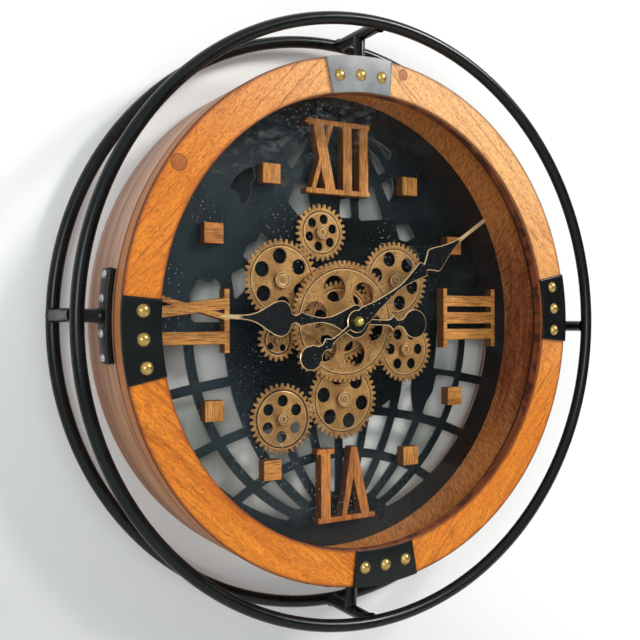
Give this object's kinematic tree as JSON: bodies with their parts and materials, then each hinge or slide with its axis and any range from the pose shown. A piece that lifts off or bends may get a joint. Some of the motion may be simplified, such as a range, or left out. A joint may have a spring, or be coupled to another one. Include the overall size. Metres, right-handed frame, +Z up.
{
  "type": "wall clock",
  "caption": "Round wooden wall clock in a steel ring frame, with a pierced globe dial, Roman numerals, an open gear train, hands and a battery movement behind the dial.",
  "frame": {"origin": "on the clock's axis, in the plane of the wall, which is also the plane of the drum's back edge", "axes": "+Z up, +X to the right as seen from the front, +Y into the wall: the clock faces -Y"},
  "size_m": [0.5994, 0.1045, 0.5994],
  "materials": {
    "bezel_wood": "stained satin",
    "drum_wood": "worn satin",
    "numeral_wood": "stained satin",
    "glass": "clear",
    "dial_paint": "satin",
    "black_steel": "satin",
    "hand_paint": "black with bright edges",
    "bronze": "antique, brushed",
    "brass": "polished",
    "steel": "plated",
    "black_plastic": "matte",
    "lead_plastic": "satin",
    "white_plastic": "matte",
    "cell_label": "gloss"
  },
  "bodies": {
    "case": {"wood_bezel": "bezel_wood", "wood_drum": "drum_wood", "glass_pane": "glass", "glazing_bead": "black_plastic", "dial_plate": "dial_paint", "front_ring": "black_steel", "rear_ring": "black_steel", "standoff_top": "black_steel", "standoff_left": "black_steel", "standoff_bottom": "black_steel", "standoff_right": "black_steel", "strap_top": "black_steel", "strap_left": "black_steel", "strap_bottom": "black_steel", "strap_right": "black_steel", "numeral_xii": "numeral_wood", "numeral_iii": "numeral_wood", "numeral_vi": "numeral_wood", "numeral_ix": "numeral_wood", "hour_block_1": "numeral_wood", "hour_block_2": "numeral_wood", "hour_block_4": "numeral_wood", "hour_block_5": "numeral_wood", "hour_block_7": "numeral_wood", "hour_block_8": "numeral_wood", "hour_block_10": "numeral_wood", "hour_block_11": "numeral_wood", "post_left_top": "bronze", "post_right_top": "bronze", "post_bottom": "bronze", "post_top": "bronze", "post_small": "bronze", "post_right_bottom": "bronze", "post_bottom_left": "bronze", "centre_bushing": "brass", "movement_nut": "brass", "movement_case": "black_plastic", "movement_battery": "cell_label", "gear_motor": "steel", "battery_box": "black_plastic", "gear_battery": "cell_label", "motor_lead": "lead_plastic", "hanger_plate": "steel"},
    "minute_hand": {"minute_hand": "hand_paint", "hand_nut": "brass", "minute_arbor": "brass"},
    "hour_hand": {"hour_hand": "hand_paint", "hour_arbor": "brass"},
    "setting_knob": {"time_set_knob": "white_plastic"},
    "centre_gear": {"centre_gear": "bronze", "gear_hidden": "bronze"},
    "pinion": {"drive_pinion": "brass"},
    "gear_left_top": {"gear_left_top": "bronze"},
    "gear_right_top": {"gear_right_top": "bronze"},
    "gear_bottom": {"gear_bottom": "bronze"},
    "gear_top": {"gear_top": "bronze"},
    "gear_small": {"gear_small": "bronze"},
    "gear_right_bottom": {"gear_right_bottom": "bronze"},
    "gear_bottom_left": {"gear_bottom_left": "bronze"},
    "switch": {"slide_switch": "white_plastic"}
  },
  "joints": [
    {"name": "minute_hand_turn", "type": "hinge", "parent": "case", "child": "minute_hand", "pos_m": [0, -0.05, 0], "axis": [0, 1, 0], "continuous": true},
    {"name": "hour_hand_turn", "type": "hinge", "parent": "case", "child": "hour_hand", "pos_m": [0, -0.05, 0], "axis": [0, 1, 0], "continuous": true},
    {"name": "setting_knob_turn", "type": "hinge", "parent": "case", "child": "setting_knob", "pos_m": [0.011, -0.0074, 0.011], "axis": [0, 1, 0], "continuous": true},
    {"name": "centre_gear_turn", "type": "hinge", "parent": "case", "child": "centre_gear", "pos_m": [0, -0.038, 0], "axis": [0, 1, 0], "continuous": true},
    {"name": "pinion_turn", "type": "hinge", "parent": "case", "child": "pinion", "pos_m": [-0.03785, -0.029, -0.03785], "axis": [0, 1, 0], "continuous": true},
    {"name": "gear_left_top_turn", "type": "hinge", "parent": "case", "child": "gear_left_top", "pos_m": [-0.07012, -0.029, 0.04214], "axis": [0, 1, 0], "continuous": true},
    {"name": "gear_right_top_turn", "type": "hinge", "parent": "case", "child": "gear_right_top", "pos_m": [0.07031, -0.029, 0.04377], "axis": [0, 1, 0], "continuous": true},
    {"name": "gear_bottom_turn", "type": "hinge", "parent": "case", "child": "gear_bottom", "pos_m": [0.003, -0.029, -0.08176], "axis": [0, 1, 0], "continuous": true},
    {"name": "gear_top_turn", "type": "hinge", "parent": "case", "child": "gear_top", "pos_m": [-0.0232, -0.029, 0.09228], "axis": [0, 1, 0], "continuous": true},
    {"name": "gear_small_turn", "type": "hinge", "parent": "case", "child": "gear_small", "pos_m": [-0.07477, -0.029, -0.01829], "axis": [0, 1, 0], "continuous": true},
    {"name": "gear_right_bottom_turn", "type": "hinge", "parent": "case", "child": "gear_right_bottom", "pos_m": [0.0836, -0.029, -0.03081], "axis": [0, 1, 0], "continuous": true},
    {"name": "gear_bottom_left_turn", "type": "hinge", "parent": "case", "child": "gear_bottom_left", "pos_m": [-0.06991, -0.029, -0.09819], "axis": [0, 1, 0], "continuous": true},
    {"name": "switch_slide", "type": "slide", "parent": "case", "child": "switch", "axis": [1, 0, 0], "range_m": [0, 0.003]}
  ],
  "couplings": [
    {"joint": "hour_hand_turn", "follows": "minute_hand_turn", "ratio": 0.083333},
    {"joint": "setting_knob_turn", "follows": "minute_hand_turn", "ratio": -1.25},
    {"joint": "pinion_turn", "follows": "centre_gear_turn", "ratio": -3.4167},
    {"joint": "gear_left_top_turn", "follows": "centre_gear_turn", "ratio": -1.025},
    {"joint": "gear_right_top_turn", "follows": "centre_gear_turn", "ratio": -1},
    {"joint": "gear_bottom_turn", "follows": "centre_gear_turn", "ratio": -1.025},
    {"joint": "gear_top_turn", "follows": "centre_gear_turn", "ratio": 1.4643},
    {"joint": "gear_small_turn", "follows": "centre_gear_turn", "ratio": 2.05},
    {"joint": "gear_right_bottom_turn", "follows": "centre_gear_turn", "ratio": 1.2059},
    {"joint": "gear_bottom_left_turn", "follows": "centre_gear_turn", "ratio": 1.2059}
  ]
}
